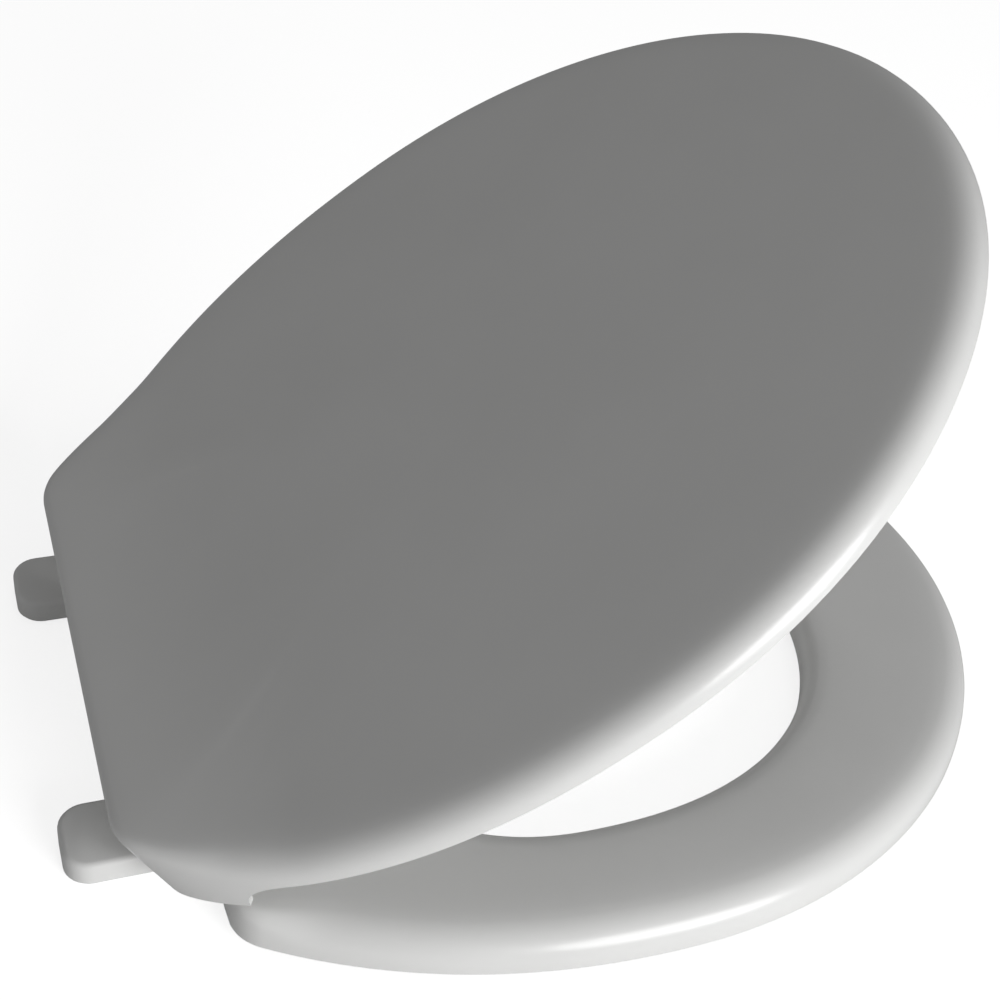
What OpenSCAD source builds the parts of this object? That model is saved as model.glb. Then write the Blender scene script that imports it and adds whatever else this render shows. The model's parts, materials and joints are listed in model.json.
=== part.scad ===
// Moulded toilet seat with lid, open ring, hinge feet, pins and buffers.
// The origin is midway between the two fixing holes, on the plane of the pan.
// +X is to the right seen from the front, the front is towards -Y, and +Z is up.

/* [Lid] */
// Greatest width of the lid
lid_w = 380; // [340:1:400]
// Length of the lid at its rim
lid_len = 409.3; // [370:0.1:440]
// Distance from the lid's front to its widest place
lid_nose = 211; // [180:1:230]
// Width of the lid's straight back edge
lid_back_w = 214; // [200:1:240]
// Size of the lid's two back corners in plan
lid_corner = 9; // [7:0.5:12]
// How far the lid's rim reaches behind the hinge axis
lid_behind = 12.5; // [11.5:0.1:14]
// Height of the closed lid's rim above the pan
lid_rim_z = 24.3; // [23.5:0.1:28]
// Height of the lid's edge from its rim to its flat
lid_edge_h = 11.6; // [9:0.1:16]
// Width of the rounded shoulder along the lid's sides and front
lid_shoulder = 12.8; // [8:0.1:18]
// Rounding of the lid's back edge
lid_back_round = 4; // [3.2:0.1:5]
// Rise of the lid's crown at its middle
lid_crown = 3; // [1:0.1:6]
// How far the back of the lid sweeps up
lid_sweep = 15; // [13:0.1:20]
// Distance in front of the hinge axis at which the sweep begins
sweep_from = 57; // [45:1:80]
// Wall thickness of the lid
lid_wall = 2.8; // [2:0.1:3.1]
// Height of the bottom of the lid's rear skirt above the pan
skirt_z = 12.3; // [12:0.1:16]
// Backward lean of the rear skirt, in degrees
skirt_lean = 5; // [3:0.1:7]
// Distance in front of the hinge axis at which the skirt starts to step up
step_from = 20; // [12:1:24]
// Length of that step
step_len = 18; // [6:1:24]
// Angle at which the lid stands open, in degrees
lid_angle = 36; // [0:1:95]

/* [Seat ring] */
// Gap between the outlines of ring and lid along the sides
ring_inset = 4.7; // [2:0.1:8]
// Gap between the outlines of ring and lid at the front
ring_front_inset = 6.8; // [3:0.1:12]
// Size of the ring's two back corners in plan
ring_corner = 12; // [10:0.5:15]
// Distance from the hinge axis to the back of the ring
ring_back = 22; // [21:0.5:28]
// Height of the ring's lower edge above the pan
ring_z = 5.8; // [4.4:0.1:6.4]
// Height of the ring from its lower edge to its top
ring_h = 17; // [15:0.1:17.6]
// Width of the rounded shoulder along the ring's outside
ring_shoulder = 14; // [8:0.5:18]
// Rounding of the ring's back edge
ring_back_round = 5; // [4:0.5:8]
// Rounding of the ring's inner edge
ring_lip = 8; // [5:0.5:10]
// Fall of the ring's top towards the hole
ring_fall = 1.5; // [0:0.1:3]
// Wall thickness of the ring
ring_wall = 2.8; // [2:0.1:3.5]
// Width of the ring at its front
ring_front_w = 81; // [60:1:90]
// Width of the ring at its back
ring_back_w = 46; // [40:1:60]
// Greatest width of the hole
hole_w = 257; // [220:1:280]
// Distance from the hinge axis to the hole's widest place
hole_widest = 168.6; // [140:1:190]
// Thickness of the ribs under the ring
rib_t = 2.4; // [1.5:0.1:4]
// Height of the ribs' lower edges above the ring's
rib_up = 3; // [2:0.5:6]

/* [Hinge] */
// Distance from the fixing holes forward to the hinge axis
hinge_ahead = 18; // [14:0.5:22]
// Height of the hinge axis above the pan
hinge_z = 34; // [33:0.5:36]
// Outer radius of the hinge knuckles
knuckle_r = 7.5; // [7:0.1:8]
// Width of each foot's knuckle
foot_knuckle_w = 17; // [12:0.5:20]
// Width of each ring arm
ring_arm_w = 10; // [7:0.5:12]
// Width of each lid ear
lid_ear_w = 8; // [6:0.5:10]
// Radius of the hinge pin
pin_r = 3; // [2.5:0.1:3.5]
// Radial running clearance on the pin
pin_clear = 0.05; // [0.02:0.01:0.1]
// Wall thickness of the bushes
bush_wall = 1.4; // [1:0.1:1.6]
// Thickness of the bush flanges
flange_t = 1; // [0.6:0.1:1.5]
// Side clearance between pieces that turn against each other
side_clear = 0.3; // [0.2:0.05:0.5]
// Thickness of the pin's head
pin_head_t = 2.2; // [1.5:0.1:3]
// Length of the pin's cap
cap_len = 4; // [3:0.1:6]
// Radius of the pin's head and cap
head_r = 5; // [4.5:0.1:6]

/* [Feet] */
// Distance between the centres of the two fixing holes
fixing_pitch = 155; // [145:1:165]
// Width of each foot
foot_w = 34; // [28:1:38]
// How far each foot reaches behind its fixing hole
foot_behind = 15; // [13:0.5:22]
// Height of each foot's top above the pan
foot_top = 11.5; // [10.5:0.1:12]
// Radius of each foot's corners in plan
foot_corner = 11; // [6:0.5:13]
// Rounding of the foot's top edge
foot_edge = 2.5; // [1:0.1:3]
// Distance from the hinge axis forward to the back of the neck that carries the knuckle
neck_back = 13.8; // [13.5:0.1:14.3]
// Thickness of that neck
neck_t = 6.2; // [5:0.1:6.6]
// Thickness of the pad under each foot
pad_t = 1.5; // [1:0.1:2.5]
// Inset of the pad from the foot's outline
pad_inset = 1.2; // [0.5:0.1:3]

/* [Fixing insert] */
// Core radius of the insert's thread
thread_r = 3.4; // [2.5:0.1:4.2]
// Outer radius of the insert
insert_r = 5.5; // [5:0.1:7]
// Length of the insert
insert_len = 8.5; // [6:0.1:9]
// Depth of the insert's holding grooves
insert_groove = 0.7; // [0.3:0.1:0.9]

/* [Buffers] */
// Length of each ring buffer
ring_buffer_len = 28; // [18:1:36]
// Width of each ring buffer
ring_buffer_w = 12; // [8:1:16]
// How far each ring buffer reaches into the ring
ring_buffer_seat = 1.6; // [1:0.1:3]
// Diameter of each lid buffer
lid_buffer_d = 14; // [10:1:18]
// Height of each lid buffer's head
lid_buffer_h = 5; // [3:0.1:6]
// Radius of the buffers' pegs
peg_r = 2.5; // [2:0.1:3]
// Length of the buffers' pegs
peg_len = 4; // [3:0.1:5]
// Outer radius of the bosses that hold the pegs
boss_r = 5.5; // [4.5:0.1:7]
// Clearance of the pegs in their bosses
peg_clear = 0.05; // [0:0.01:0.1]
// Gap between the closed lid's buffers and the ring
landing_gap = 0.3; // [0.2:0.05:0.6]

/* [Hidden] */

white = [0.93, 0.93, 0.92];
soft_white = [0.85, 0.86, 0.86];
brass = [0.78, 0.65, 0.36];
steel = [0.72, 0.73, 0.75];
eps = 0.01;

// Points across half of the front, along one side, round a back corner and across half of the back
front_n = 24;
side_n = 20;
corner_n = 4;
back_n = 7;
// Points along one side of the lid in front of the skirt's step, and behind it
lid_side_n = 16;
cheek_n = 5;
// Where a back corner's bend starts, as a share of its size
bend_start = 0.7;

// Lengths along the seat are counted forward from the hinge axis
lid_front = lid_len - lid_behind;
lid_widest = lid_front - lid_nose;
ring_top = ring_z + ring_h;
ring_front = lid_front - ring_front_inset;
hole_front = ring_front - ring_front_w;
hole_back = ring_back + ring_back_w;

foot_x = fixing_pitch / 2;
bush_r = pin_r + pin_clear + bush_wall;
flange_r = bush_r + 1.6;
// Places across the hinge, counted outward from the middle of the foot
arm_out = foot_knuckle_w / 2 + side_clear + flange_t;
arm_in = arm_out + ring_arm_w;
ear_in = arm_out;
ear_out = ear_in + lid_ear_w;
head_at = ear_out + side_clear;
cap_at = arm_in + side_clear;
notch_in = foot_x - cap_at - cap_len - 0.8;
notch_out = foot_x + head_at + pin_head_t + 0.8;

function mix(a, b, t) = a + (b - a) * t;
function clamped(t) = min(1, max(0, t));
function ramp(v, a, b) = let (t = clamped((v - a) / (b - a))) t * t * (3 - 2 * t);
function unit(v) = v / norm(v);
function mirrored(half) = concat(half, [for (i = [len(half) - 2:-1:1]) [-half[i][0], half[i][1]]]);

// Half-width of the lid's outline behind its widest place
function side_w(s, back, inset) =
    let (t = clamped((s - back) / (lid_widest - back)))
    mix(lid_back_w / 2, lid_w / 2, pow(1 - pow(1 - t, 2.2), 0.82)) - inset;

// Outline in plan as points [x, s]: front, side at the lengths given, rounded back corner, straight back
function outline(front, side_at, back, inset, corner) =
    let (
        half_w = lid_w / 2 - inset,
        nose = [for (i = [0:front_n - 1]) let (a = 90 * i / front_n)
            [half_w * pow(sin(a), 0.985), lid_widest + (front - lid_widest) * pow(cos(a), 0.985)]],
        side = [for (s = side_at) [side_w(s, -lid_behind, inset), s]],
        start = side[len(side) - 1],
        tip = [side_w(back, -lid_behind, inset), back],
        end = [tip[0] - corner, back],
        bend = [for (i = [1:corner_n]) let (t = i / corner_n)
            (1 - t) * (1 - t) * start + 2 * t * (1 - t) * tip + t * t * end],
        rear = [for (i = [1:back_n]) [end[0] * (1 - i / back_n), back]]
    )
    mirrored(concat(nose, side, bend, rear));

function normals(loop) =
    let (n = len(loop))
    [for (i = [0:n - 1]) let (d = unit(loop[(i + 1) % n] - loop[(i + n - 1) % n])) [-d[1], d[0]]];

function place(p, z) = [p[0], -hinge_ahead - p[1], z];

// Triangles between loops of n points; the first and last points of the list may close the ends
function skin(n, m, first) =
    [for (j = [0:m - 2], i = [0:n - 1]) let (a = first + j * n, k = (i + 1) % n)
        each [[a + i, a + k, a + n + k], [a + i, a + n + k, a + n + i]]];
function fan(n, tip, first, turn) =
    [for (i = [0:n - 1]) let (k = (i + 1) % n)
        turn ? [tip, first + k, first + i] : [tip, first + i, first + k]];

module turned_x(at) {
    translate([at, -hinge_ahead, hinge_z]) rotate([0, 90, 0]) children();
}

module side_plate(from, to) {
    translate([from, -hinge_ahead, hinge_z])
        rotate([90, 0, 90]) linear_extrude(to - from) scale([-1, 1]) children();
}

module puck(r, h, edge) {
    rotate_extrude($fn = 32)
        polygon(concat([[0, 0], [r, 0]],
            [for (a = [0:22.5:90]) [r - edge + edge * cos(a), h - edge + edge * sin(a)]],
            [[0, h]]));
}

// Lid, drawn closed

lid_side_at = concat(
    [for (i = [0:lid_side_n - 1]) mix(step_from + step_len, lid_widest, pow(1 - i / lid_side_n, 1.4))],
    [for (a = [90:-22.5:0]) step_from + step_len * (1 - cos(a))],
    [for (i = [1:cheek_n]) mix(step_from, bend_start * lid_corner - lid_behind, i / cheek_n)]
);
lid_outline = outline(lid_front, lid_side_at, -lid_behind, 0, lid_corner);
lid_n = len(lid_outline);
lid_normals = normals(lid_outline);
lid_mid = [0, lid_widest];

function lid_plate(s) =
    lid_rim_z + lid_edge_h
    + lid_sweep * pow(clamped((sweep_from - s) / (sweep_from + lid_behind)), 1.6);

function lid_at(i, inset, z) =
    let (
        p = lid_outline[i],
        back = 1 - ramp(p[1], step_from, step_from + step_len),
        lean = back * tan(skirt_lean) * (lid_rim_z - z)
    )
    p + lid_normals[i] * (lean - inset);

// One loop round the lid's shoulder: u = 90 at the flat, 0 at the wall; deep is 0 outside or the wall inside
function lid_shoulder_loop(u, deep) =
    [for (i = [0:lid_n - 1])
        let (
            backness = 1 - ramp(lid_outline[i][1], -lid_behind, 45),
            wide = mix(lid_shoulder, lid_back_round, backness),
            high = mix(lid_edge_h - 2, lid_back_round, backness),
            flat = lid_plate(lid_at(i, wide, lid_rim_z + lid_edge_h + lid_sweep * backness)[1]),
            z = flat - deep - (high - deep) * (1 - sin(u)),
            inset = deep + (wide - deep) * (1 - cos(u))
        )
        place(lid_at(i, inset, z), z)];

// Height of the rim: the skirt steps up along a quarter of an ellipse
function rim_z(s) =
    let (t = clamped((s - step_from) / step_len))
    mix(skirt_z, lid_rim_z, sqrt(1 - (1 - t) * (1 - t)));

function lid_rim_loop(deep) =
    [for (i = [0:lid_n - 1]) let (z = rim_z(lid_outline[i][1])) place(lid_at(i, deep, z), z)];

function lid_flat_loop(f, edge, deep) =
    [for (q = edge) let (s = mix(lid_widest, -hinge_ahead - q[1], f))
        [q[0] * f, -hinge_ahead - s, lid_plate(s) - deep + lid_crown * (1 - f * f)]];

module lid_shell() {
    outer_edge = lid_shoulder_loop(90, 0);
    inner_edge = lid_shoulder_loop(90, lid_wall);
    shares = [0.2, 0.45, 0.68, 0.8, 0.88, 0.94];
    loops = concat(
        [for (f = shares) lid_flat_loop(f, outer_edge, 0)],
        [outer_edge],
        [for (u = [67.5, 45, 22.5, 0]) lid_shoulder_loop(u, 0)],
        [lid_rim_loop(0), lid_rim_loop(lid_wall)],
        [for (u = [0, 45]) lid_shoulder_loop(u, lid_wall)],
        [inner_edge],
        [for (i = [len(shares) - 1:-1:0]) lid_flat_loop(shares[i], inner_edge, lid_wall)]
    );
    m = len(loops);
    top = place(lid_mid, lid_plate(lid_widest) + lid_crown);
    under = top - [0, 0, lid_wall];
    polyhedron(
        concat([top, under], [for (l = loops) each l]),
        concat(
            fan(lid_n, 0, 2, false),
            skin(lid_n, m, 2),
            fan(lid_n, 1, 2 + (m - 1) * lid_n, true)
        ),
        convexity = 6);
}

module lid_ear(side) {
    from = side > 0 ? foot_x + ear_in : -foot_x - ear_out;
    reach = 38;
    web = [for (i = [0:6]) let (s = reach * i / 6) [s, lid_plate(s) - lid_wall / 2 - hinge_z]];
    side_plate(from, from + lid_ear_w) {
        circle(knuckle_r, $fn = 64);
        polygon(concat(web, [
            [reach, web[6][1] - lid_wall],
            [reach / 2, -1],
            [knuckle_r * 0.8, -knuckle_r * 0.6],
            [0, 0],
            [-knuckle_r * 0.6, knuckle_r * 0.8]
        ]));
    }
}

// Where the skirt's notches begin behind the hinge axis
notch_from = lid_behind - (lid_plate(0) - lid_rim_z) * tan(skirt_lean) - lid_back_round;
lid_buffer_i = round(front_n * 0.62);

function lid_buffer_at(side) = let (p = ring_mid(lid_buffer_i)) [side * p[0], p[1]];
lid_buffer_z = ring_top + landing_gap;

module lid_closed() {
    difference() {
        union() {
            difference() {
                lid_shell();
                for (side = [-1, 1])
                    translate([side > 0 ? notch_in : -notch_out, notch_from - hinge_ahead, 0])
                        cube([notch_out - notch_in, lid_behind, lid_plate(-notch_from) - lid_wall]);
            }
            for (side = [-1, 1]) {
                lid_ear(side);
                translate(place(lid_buffer_at(side), lid_buffer_z + lid_buffer_h))
                    cylinder(r = boss_r, h = lid_plate(lid_widest) - lid_wall / 2
                        - lid_buffer_z - lid_buffer_h, $fn = 48);
            }
        }
        for (side = [-1, 1]) {
            turned_x(side > 0 ? foot_x + ear_in - 1 : -foot_x - ear_out - 1)
                cylinder(r = bush_r, h = lid_ear_w + 2, $fn = 64);
            translate(place(lid_buffer_at(side), lid_buffer_z + lid_buffer_h - 1))
                cylinder(r = peg_r + peg_clear, h = peg_len + 1, $fn = 48);
        }
    }
}

module opened() {
    translate([0, -hinge_ahead, hinge_z]) rotate([-lid_angle, 0, 0])
        translate([0, hinge_ahead, -hinge_z]) children();
}

module lid() {
    color(white) opened() lid_closed();
}

// Seat ring

ring_side_at = [for (i = [0:side_n])
    mix(ring_back + bend_start * ring_corner, lid_widest, pow(1 - i / side_n, 1.5))];
ring_outline = outline(ring_front, ring_side_at, ring_back, ring_inset, ring_corner);
ring_n = len(ring_outline);

// The hole's edge seen from its middle in the direction of the outline point
function hole_point(p) =
    let (
        d = unit(p - [0, hole_widest]),
        long = d[1] > 0 ? hole_front - hole_widest : hole_widest - hole_back,
        r = pow(pow(abs(d[0]) / (hole_w / 2), 2.28) + pow(abs(d[1]) / long, 2.28), -1 / 2.28)
    )
    [0, hole_widest] + d * r;

ring_hole = [for (p = ring_outline) hole_point(p)];
function ring_mid(i) = (ring_outline[i] + ring_hole[i]) / 2;

// Rounded outer shoulder and inner lip of the ring's section, deep mm below its surface
function ring_arc(s, deep, us) =
    let (
        backness = 1 - ramp(s, ring_back, ring_back + 30),
        wide = mix(ring_shoulder, ring_back_round, backness) - deep,
        high = mix(ring_h - 5, ring_back_round, backness) - deep
    )
    [for (u = us) [deep + wide * (1 - cos(u)), ring_top - deep - high * (1 - sin(u))]];
function lip_arc(w, deep, us) =
    [for (u = us)
        [w, ring_top - ring_fall] - [deep, deep] - (ring_lip - deep) * [1 - cos(u), 1 - sin(u)]];

// Section of the ring as points [distance in from the outside, height]; w is its width there
function ring_section(w, s) =
    let (t = ring_wall, middle = [(ring_shoulder + w - ring_lip) / 2, ring_top - ring_fall * 0.3])
    concat(
        [[0, ring_z]],
        ring_arc(s, 0, [0:22.5:90]),
        [middle],
        lip_arc(w, 0, [90:-30:0]),
        [[w, ring_z + 1], [w - t, ring_z + 1]],
        lip_arc(w, t, [0:45:90]),
        [middle - [0, t]],
        ring_arc(s, t, [90:-45:0]),
        [[t, ring_z]]
    );

module ring_shell() {
    sections = [for (i = [0:ring_n - 1])
        ring_section(norm(ring_hole[i] - ring_outline[i]), ring_outline[i][1])];
    m = len(sections[0]);
    points = [for (j = [0:m], i = [0:ring_n - 1])
        let (inward = unit(ring_hole[i] - ring_outline[i]), q = sections[i][j % m])
        place(ring_outline[i] + inward * q[0], q[1])];
    polyhedron(
        [for (k = [0:m * ring_n - 1]) points[k]],
        [for (f = skin(ring_n, m + 1, 0)) [for (k = [2, 1, 0]) f[k] % (m * ring_n)]],
        convexity = 8);
}

// A rib across the hollow of the ring, its edge in the middle of the skin
module ring_rib(i) {
    p = ring_outline[i];
    across = ring_hole[i] - p;
    w = norm(across);
    t = ring_wall / 2;
    translate(place(p, 0)) rotate([90, 0, atan2(-across[1], across[0])])
        translate([0, 0, -rib_t / 2]) linear_extrude(rib_t)
            polygon(concat(
                [[t, ring_z + rib_up]],
                ring_arc(p[1], t, [0:45:90]),
                lip_arc(w, t, [90:-45:0]),
                [[w - t, ring_z + rib_up]]
            ));
}

module ring_arm(side) {
    from = side > 0 ? foot_x - arm_in : -foot_x + arm_out;
    end = ring_back + ring_back_w / 2;
    side_plate(from, from + ring_arm_w) {
        circle(knuckle_r, $fn = 64);
        polygon([
            [0, 0],
            [knuckle_r * 0.3, knuckle_r * 0.95],
            [knuckle_r, knuckle_r * 0.66],
            [ring_back - 2, 1],
            [ring_back + 9, ring_top - ring_wall / 2 - hinge_z + 4],
            [ring_back + 14, ring_top - ring_wall / 2 - hinge_z],
            [end, ring_top - ring_wall / 2 - hinge_z],
            [end, ring_top - 6 - hinge_z],
            [ring_back + 8, ring_z + 5 - hinge_z],
            [ring_back + ring_wall / 2, ring_z + 5 - hinge_z],
            [ring_back - 8, foot_top + 4 - hinge_z],
            [knuckle_r * 0.5, -knuckle_r * 0.87]
        ]);
    }
}

// Outline points at which the ribs and the buffers lie, counted from the front
rib_first = 3;
rib_step = 7;
ribs = [for (k = [0:6]) rib_first + k * rib_step];
ring_buffer_front_i = ribs[1];
ring_buffer_rear_i = ribs[5];
ring_buffer_top = ring_z + ring_buffer_seat;

module at_ring_buffer(i, side) {
    p = ring_mid(i);
    along = ring_outline[i + 1] - ring_outline[i - 1];
    translate(place([side * p[0], p[1]], 0))
        rotate([0, 0, side * atan2(-along[1], along[0])]) children();
}

module ring_bosses(i, side) {
    at_ring_buffer(i, side) translate([0, 0, ring_buffer_top])
        cylinder(r = boss_r, h = ring_top - ring_fall - ring_wall / 2 - ring_buffer_top, $fn = 48);
}

module ring_peg_hole(i, side) {
    at_ring_buffer(i, side) translate([0, 0, ring_buffer_top - 1])
        cylinder(r = peg_r + peg_clear, h = peg_len + 1, $fn = 48);
}

module seat_ring() {
    color(white) difference() {
        union() {
            ring_shell();
            for (i = ribs) {
                ring_rib(i);
                ring_rib(ring_n - i);
            }
            for (side = [-1, 1]) {
                ring_arm(side);
                ring_bosses(ring_buffer_front_i, side);
                ring_bosses(ring_buffer_rear_i, side);
            }
        }
        for (side = [-1, 1]) {
            turned_x(side > 0 ? foot_x - arm_in - 1 : -foot_x + arm_out - 1)
                cylinder(r = bush_r, h = ring_arm_w + 2, $fn = 64);
            ring_peg_hole(ring_buffer_front_i, side);
            ring_peg_hole(ring_buffer_rear_i, side);
        }
    }
}

// Feet

neck_front = neck_back + neck_t;
neck_foot = foot_top - 4 - hinge_z;
foot_front = hinge_ahead + neck_front;

module foot_plan(inset, h, edge) {
    x = foot_w / 2 - inset;
    r = foot_corner - inset;
    hull() for (sx = [-1, 1]) {
        translate([sx * (x - r), foot_behind - inset - r, 0]) puck(r, h, edge);
        translate([sx * (x - 4), inset + 4 - foot_front, 0]) puck(4, h, edge);
    }
}

module insert_shape(bore) {
    rotate_extrude($fn = 48)
        polygon([
            [bore, 0],
            [insert_r, 0],
            [insert_r, insert_len * 0.3],
            [insert_r - insert_groove, insert_len * 0.36],
            [insert_r - insert_groove, insert_len * 0.52],
            [insert_r, insert_len * 0.58],
            [insert_r, insert_len - 0.6],
            [insert_r - 0.6, insert_len],
            [bore, insert_len]
        ]);
}

module foot_neck() {
    side_plate(-foot_knuckle_w / 2, foot_knuckle_w / 2) {
        circle(knuckle_r, $fn = 64);
        polygon([
            [0, 0],
            [knuckle_r * 0.99, knuckle_r * 0.14],
            [neck_front - 1.5, -9],
            [neck_front, -15],
            [neck_front, neck_foot],
            [neck_back - 3.5, neck_foot],
            [neck_back - 2.3, -19],
            [neck_back, -15],
            [neck_back - 0.8, -9.6],
            [knuckle_r * 0.76, -knuckle_r * 0.64]
        ]);
    }
}

module hinge_foot() {
    color(white) difference() {
        union() {
            translate([0, 0, pad_t]) foot_plan(0, foot_top - pad_t, foot_edge);
            foot_neck();
        }
        turned_x(-foot_knuckle_w / 2 - 1)
            cylinder(r = pin_r + pin_clear, h = foot_knuckle_w + 2, $fn = 64);
        insert_shape(0);
    }
}

module foot_pad() {
    color(soft_white) difference() {
        foot_plan(pad_inset, pad_t, 0.4);
        translate([0, 0, -1]) cylinder(r = insert_r, h = pad_t + 2, $fn = 48);
    }
}

module fixing_insert() {
    color(brass) insert_shape(thread_r);
}

module hinge_pin(side) {
    color(steel) translate([side * foot_x, -hinge_ahead, hinge_z]) rotate([0, side * 90, 0])
        rotate_extrude($fn = 64)
            polygon([
                [0, -cap_at - cap_len + 1],
                [pin_r - 0.5, -cap_at - cap_len + 1],
                [pin_r, -cap_at - cap_len + 1.5],
                [pin_r, head_at],
                [head_r, head_at],
                [head_r, head_at + pin_head_t - 0.7],
                [head_r - 0.7, head_at + pin_head_t],
                [0, head_at + pin_head_t]
            ]);
}

module pin_cap(side) {
    color(white) translate([side * foot_x, -hinge_ahead, hinge_z]) rotate([0, side * 90, 0])
        rotate_extrude($fn = 64)
            polygon([
                [0, -cap_at - cap_len],
                [head_r - 0.8, -cap_at - cap_len],
                [head_r, -cap_at - cap_len + 0.8],
                [head_r, -cap_at],
                [pin_r, -cap_at],
                [pin_r, -cap_at - cap_len + 1.5],
                [pin_r - 0.5, -cap_at - cap_len + 1],
                [0, -cap_at - cap_len + 1]
            ]);
}

// A flanged bush whose flange lies on the foot's side; way is the direction of its sleeve
module bush(at, way, len) {
    color(soft_white) translate([at, -hinge_ahead, hinge_z]) rotate([0, way * 90, 0])
        rotate_extrude($fn = 64)
            polygon([
                [pin_r + pin_clear, -flange_t],
                [flange_r, -flange_t],
                [flange_r, 0],
                [bush_r, 0],
                [bush_r, len],
                [pin_r + pin_clear, len]
            ]);
}

module buffer_peg(z) {
    translate([0, 0, z - eps]) cylinder(r = peg_r, h = peg_len - 0.5 + eps, $fn = 48);
}

module ring_buffer(i, side) {
    color(soft_white) at_ring_buffer(i, side) union() {
        translate([0, 0, ring_buffer_top]) mirror([0, 0, 1]) hull() for (x = [-1, 1])
            translate([x * (ring_buffer_len - ring_buffer_w) / 2, 0, 0])
                puck(ring_buffer_w / 2, ring_buffer_top, 1.5);
        buffer_peg(ring_buffer_top);
    }
}

module lid_buffer(side) {
    color(soft_white) opened() translate(place(lid_buffer_at(side), lid_buffer_z)) union() {
        translate([0, 0, lid_buffer_h]) mirror([0, 0, 1]) puck(lid_buffer_d / 2, lid_buffer_h, 1.5);
        buffer_peg(lid_buffer_h);
    }
}

lid();
seat_ring();
translate([-foot_x, 0, 0]) hinge_foot();  // hinge_foot_left
translate([foot_x, 0, 0]) hinge_foot();  // hinge_foot_right
translate([-foot_x, 0, 0]) foot_pad();  // foot_pad_left
translate([foot_x, 0, 0]) foot_pad();  // foot_pad_right
translate([-foot_x, 0, 0]) fixing_insert();  // fixing_insert_left
translate([foot_x, 0, 0]) fixing_insert();  // fixing_insert_right
hinge_pin(-1);  // hinge_pin_left
hinge_pin(1);  // hinge_pin_right
pin_cap(-1);  // pin_cap_left
pin_cap(1);  // pin_cap_right
bush(-foot_x + arm_out, 1, ring_arm_w);  // ring_bush_left
bush(foot_x - arm_out, -1, ring_arm_w);  // ring_bush_right
opened() bush(-foot_x - ear_in, -1, lid_ear_w);  // lid_bush_left
opened() bush(foot_x + ear_in, 1, lid_ear_w);  // lid_bush_right
ring_buffer(ring_buffer_front_i, -1);  // ring_buffer_front_left
ring_buffer(ring_buffer_front_i, 1);  // ring_buffer_front_right
ring_buffer(ring_buffer_rear_i, -1);  // ring_buffer_rear_left
ring_buffer(ring_buffer_rear_i, 1);  // ring_buffer_rear_right
lid_buffer(-1);  // lid_buffer_left
lid_buffer(1);  // lid_buffer_right
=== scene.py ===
import json
import math
import bmesh
import bpy
from mathutils import Matrix, Vector

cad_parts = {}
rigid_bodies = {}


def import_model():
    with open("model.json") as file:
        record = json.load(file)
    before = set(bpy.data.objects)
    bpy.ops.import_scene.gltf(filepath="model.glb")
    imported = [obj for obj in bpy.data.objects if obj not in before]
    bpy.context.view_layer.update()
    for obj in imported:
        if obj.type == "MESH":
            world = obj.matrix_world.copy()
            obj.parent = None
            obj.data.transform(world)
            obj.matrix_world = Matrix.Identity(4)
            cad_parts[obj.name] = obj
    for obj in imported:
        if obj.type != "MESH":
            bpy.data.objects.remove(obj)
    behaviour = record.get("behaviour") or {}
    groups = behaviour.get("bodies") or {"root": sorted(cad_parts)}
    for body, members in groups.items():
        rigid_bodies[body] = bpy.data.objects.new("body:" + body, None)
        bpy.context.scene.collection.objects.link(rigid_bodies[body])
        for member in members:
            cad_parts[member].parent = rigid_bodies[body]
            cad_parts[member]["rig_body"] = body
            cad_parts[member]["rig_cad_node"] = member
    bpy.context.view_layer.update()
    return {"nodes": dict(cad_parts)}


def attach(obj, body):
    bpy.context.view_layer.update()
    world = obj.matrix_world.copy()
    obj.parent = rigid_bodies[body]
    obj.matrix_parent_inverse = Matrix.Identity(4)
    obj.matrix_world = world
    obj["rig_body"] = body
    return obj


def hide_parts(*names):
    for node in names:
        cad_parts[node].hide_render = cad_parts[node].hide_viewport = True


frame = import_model()
print("frame loaded,", len(frame["nodes"]), "nodes")


# materials

def newMaterial(name, colour, roughness, **sockets):
    material = bpy.data.materials.new(name)
    material.use_nodes = True
    shader = material.node_tree.nodes["Principled BSDF"]
    shader.inputs["Base Color"].default_value = (*colour, 1)
    shader.inputs["Roughness"].default_value = roughness
    for socket, value in sockets.items():
        shader.inputs[socket.replace("_", " ")].default_value = value
    return material, shader


def addNode(material, kind, **values):
    node = material.node_tree.nodes.new(kind)
    for name, value in values.items():
        if name in node.inputs:
            node.inputs[name].default_value = value
        else:
            setattr(node, name, value)
    return node


def join(material, fromSocket, toSocket):
    material.node_tree.links.new(fromSocket, toSocket)


def objectNoise(material, scale, detail=3.0, stretch=(1, 1, 1)):
    coords = addNode(material, "ShaderNodeTexCoord")
    mapping = addNode(material, "ShaderNodeMapping", Scale=stretch)
    noise = addNode(material, "ShaderNodeTexNoise", Scale=scale, Detail=detail)
    join(material, coords.outputs["Object"], mapping.inputs["Vector"])
    join(material, mapping.outputs["Vector"], noise.inputs["Vector"])
    return noise.outputs["Fac"]


def spread(material, source, low, high):
    reach = addNode(material, "ShaderNodeMapRange")
    reach.inputs["To Min"].default_value = low
    reach.inputs["To Max"].default_value = high
    join(material, source, reach.inputs["Value"])
    return reach.outputs["Result"]


def tint(material, shader, source, dark, light):
    ramp = addNode(material, "ShaderNodeValToRGB")
    ramp.color_ramp.elements[0].position = 0.35
    ramp.color_ramp.elements[0].color = (*dark, 1)
    ramp.color_ramp.elements[1].position = 0.65
    ramp.color_ramp.elements[1].color = (*light, 1)
    join(material, source, ramp.inputs["Fac"])
    join(material, ramp.outputs["Color"], shader.inputs["Base Color"])


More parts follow.
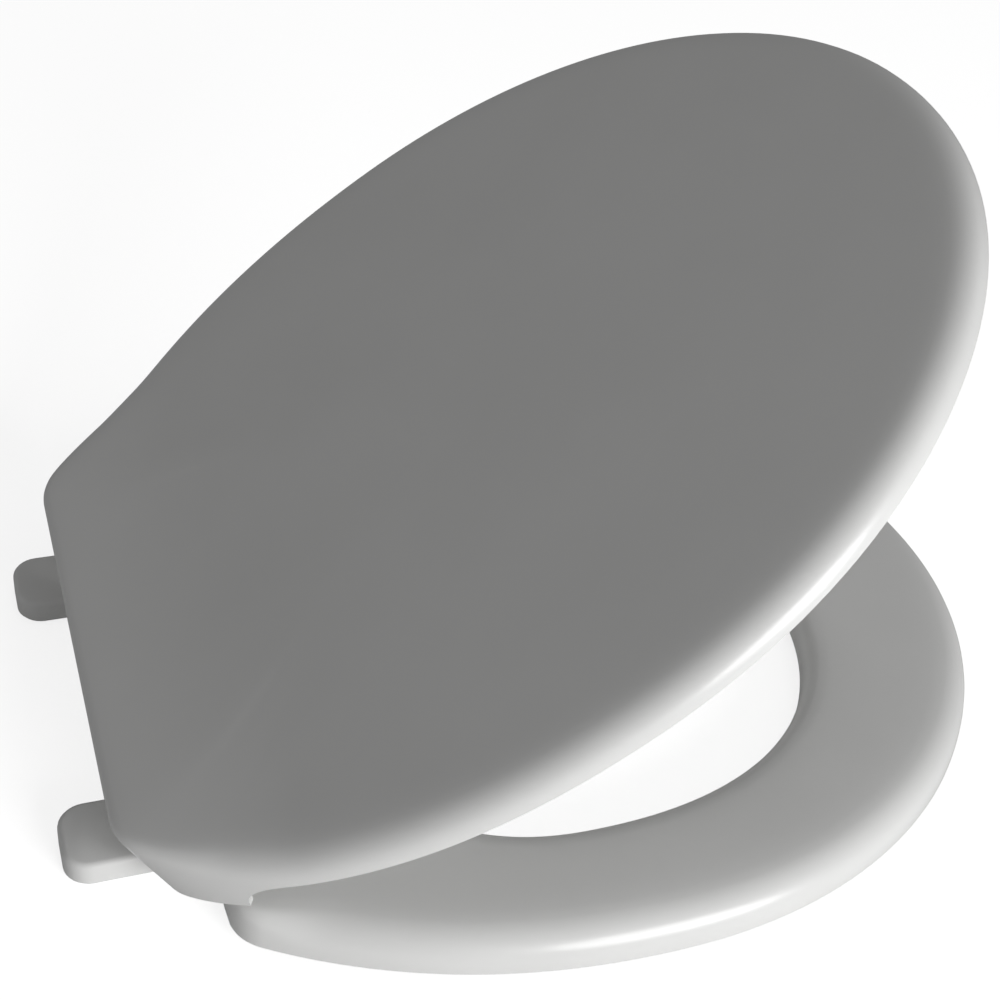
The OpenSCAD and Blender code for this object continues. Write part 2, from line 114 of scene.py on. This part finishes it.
def bump(material, shader, source, depth, strength=1.0):
    node = addNode(material, "ShaderNodeBump", Strength=strength, Distance=depth)
    join(material, source, node.inputs["Height"])
    join(material, node.outputs["Normal"], shader.inputs["Normal"])


mouldedWhite = {
    "dark": (0.845, 0.845, 0.835),
    "light": (0.865, 0.865, 0.855),
    "cloudScale": 14,
    "roughness": (0.27, 0.33),
    "peelScale": 260,
    "peelDepth": 0.00003,
}


def makeWhitePlastic():
    look = mouldedWhite
    material, shader = newMaterial("whitePlastic", look["light"], 0.3, Coat_Weight=0.25, Coat_Roughness=0.12)
    cloud = objectNoise(material, look["cloudScale"])
    tint(material, shader, cloud, look["dark"], look["light"])
    rough = spread(material, objectNoise(material, look["cloudScale"] * 5), *look["roughness"])
    join(material, rough, shader.inputs["Roughness"])
    bump(material, shader, objectNoise(material, look["peelScale"], 1), look["peelDepth"])
    return material


def makeSoftPad():
    material, shader = newMaterial("softPad", (0.78, 0.79, 0.79), 0.7)
    tint(material, shader, objectNoise(material, 60), (0.75, 0.76, 0.76), (0.8, 0.81, 0.81))
    bump(material, shader, objectNoise(material, 1800, 2), 0.00004)
    return material


def makeNylon():
    material, shader = newMaterial("nylon", (0.8, 0.79, 0.74), 0.5)
    tint(material, shader, objectNoise(material, 90), (0.77, 0.76, 0.7), (0.82, 0.81, 0.76))
    bump(material, shader, objectNoise(material, 1200, 1), 0.00002)
    return material


def makeTurned(name, dark, light, roughness, axisStretch):
    material, shader = newMaterial(name, light, roughness, Metallic=1.0)
    rings = objectNoise(material, 900, 2, axisStretch)
    tint(material, shader, rings, dark, light)
    bump(material, shader, rings, 0.00002)
    return material


whitePlastic = makeWhitePlastic()
softPad = makeSoftPad()
nylon = makeNylon()
steel = makeTurned("turnedSteel", (0.6, 0.61, 0.62), (0.7, 0.71, 0.72), 0.28, (1, 0.02, 0.02))
brass = makeTurned("turnedBrass", (0.7, 0.52, 0.22), (0.8, 0.64, 0.33), 0.3, (0.02, 0.02, 1))
print("materials made")


# pieces

def mergedCopy(node, name, quads=True):
    source = frame["nodes"][node]
    mesh = source.data.copy()
    mesh.name = name
    piece = bpy.data.objects.new(name, mesh)
    bpy.context.scene.collection.objects.link(piece)
    work = bmesh.new()
    work.from_mesh(mesh)
    bmesh.ops.remove_doubles(work, verts=work.verts, dist=1e-6)
    if quads:
        bmesh.ops.join_triangles(
            work, faces=work.faces, angle_face_threshold=math.radians(35), angle_shape_threshold=math.radians(70)
        )
    return source, piece, work


def finishPiece(source, piece, work, material, sharpAngle):
    for face in work.faces:
        face.smooth = True
    for edge in work.edges:
        edge.smooth = edge.is_manifold and edge.calc_face_angle() < math.radians(sharpAngle)
    work.to_mesh(piece.data)
    work.free()
    piece.data.materials.clear()
    piece.data.materials.append(material)
    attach(piece, source["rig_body"])
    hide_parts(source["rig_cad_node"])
    return piece


moulding = {
    "sharpAngle": 32,
}


def makeMoulding(node, name, levels):
    source, piece, work = mergedCopy(node, name)
    if levels:
        crease = work.edges.layers.float.new("crease_edge")
        for edge in work.edges:
            if edge.calc_face_angle() > math.radians(moulding["sharpAngle"]):
                edge[crease] = 1
    finishPiece(source, piece, work, whitePlastic, moulding["sharpAngle"])
    if levels:
        smooth = piece.modifiers.new("Subdivision", "SUBSURF")
        smooth.levels = smooth.render_levels = levels
    return piece


lidMoulding = makeMoulding("lid", "lidMoulding", 1)
ringMoulding = makeMoulding("seat_ring", "ringMoulding", 1)
for side in ("left", "right"):
    makeMoulding("hinge_foot_" + side, "foot_" + side + "_moulding", 0)
print("mouldings made")

finishes = {
    "buffer": (softPad, "buffer_soft"),
    "foot_pad": (softPad, "buffer_soft"),
    "bush": (nylon, "bush_nylon"),
    "hinge_pin": (steel, "pin_steel"),
    "pin_cap": (whitePlastic, "white_plastic"),
    "fixing_insert": (brass, "insert_brass"),
}


def makeSmallPiece(node, material):
    source, piece, work = mergedCopy(node, node + "_piece")
    finishPiece(source, piece, work, material, 32)


for node in sorted(frame["nodes"]):
    for word, (material, slot) in finishes.items():
        if word in node:
            makeSmallPiece(node, material)
print("small pieces made")


# camera, floor and light

cameraPlace = {
    "target": (0.0209, -0.1935, 0.0671),
    "azimuth": -112.433,
    "elevation": 37.464,
    "roll": 6.138,
    "distance": 0.760,
    "lens": 61.49,
}


def makeCamera():
    place = cameraPlace
    azimuth, elevation, roll = (math.radians(place[word]) for word in ("azimuth", "elevation", "roll"))
    back = Vector((
        math.sin(azimuth) * math.cos(elevation),
        -math.cos(azimuth) * math.cos(elevation),
        math.sin(elevation),
    ))
    level = Vector((0, 0, 1)).cross(back).normalized()
    upright = back.cross(level)
    right = level * math.cos(roll) + upright * math.sin(roll)
    up = upright * math.cos(roll) - level * math.sin(roll)
    turned = Matrix((right, up, back)).transposed().to_4x4()
    data = bpy.data.cameras.new("camera")
    data.lens = place["lens"]
    data.sensor_width = 36
    data.clip_end = 50
    camera = bpy.data.objects.new("camera", data)
    camera.matrix_world = Matrix.Translation(Vector(place["target"]) + back * place["distance"]) @ turned
    bpy.context.scene.collection.objects.link(camera)
    bpy.context.scene.camera = camera


studio = {
    "floorSize": 12,
    "floorColour": (0.9, 0.9, 0.9),
    "floorGlow": 0.73,
    "worldStrength": 0.2,
    "keyFrom": (-2.2, -1.0, 0.45),
    "keySize": 1.6,
    "keyPower": 48,
}


def makeFloor():
    work = bmesh.new()
    bmesh.ops.create_grid(work, x_segments=1, y_segments=1, size=studio["floorSize"] / 2)
    mesh = bpy.data.meshes.new("floor")
    work.to_mesh(mesh)
    work.free()
    floor = bpy.data.objects.new("floor", mesh)
    bpy.context.scene.collection.objects.link(floor)
    material = bpy.data.materials.new("floor")
    material.use_nodes = True
    tree = material.node_tree
    shader = tree.nodes["Principled BSDF"]
    shader.inputs["Base Color"].default_value = (*studio["floorColour"], 1)
    shader.inputs["Roughness"].default_value = 1
    shader.inputs["Specular IOR Level"].default_value = 0
    path = addNode(material, "ShaderNodeLightPath")
    glow = addNode(material, "ShaderNodeMath", operation="MULTIPLY")
    glow.inputs[1].default_value = studio["floorGlow"]
    join(material, path.outputs["Is Camera Ray"], glow.inputs[0])
    shader.inputs["Emission Color"].default_value = (1, 1, 1, 1)
    join(material, glow.outputs[0], shader.inputs["Emission Strength"])
    mesh.materials.append(material)


def makeWorld():
    world = bpy.data.worlds.new("studio")
    world.use_nodes = True
    bpy.context.scene.world = world
    tree = world.node_tree
    background = tree.nodes["Background"]
    path = tree.nodes.new("ShaderNodeLightPath")
    strength = tree.nodes.new("ShaderNodeMapRange")
    strength.inputs["To Min"].default_value = studio["worldStrength"]
    strength.inputs["To Max"].default_value = 1
    tree.links.new(path.outputs["Is Camera Ray"], strength.inputs["Value"])
    tree.links.new(strength.outputs["Result"], background.inputs["Strength"])
    background.inputs["Color"].default_value = (1, 1, 1, 1)


def makeLamp(name, place, size, power):
    data = bpy.data.lights.new(name, "AREA")
    data.shape = "DISK"
    data.size = size
    data.energy = power
    lamp = bpy.data.objects.new(name, data)
    lamp.location = place
    aim = Vector((0, -0.19, 0.08)) - Vector(place)
    lamp.rotation_euler = aim.to_track_quat("-Z", "Y").to_euler()
    bpy.context.scene.collection.objects.link(lamp)


makeCamera()
makeFloor()
makeWorld()
makeLamp("key", studio["keyFrom"], studio["keySize"], studio["keyPower"])
bpy.context.scene.view_settings.view_transform = "Standard"
print("studio made")
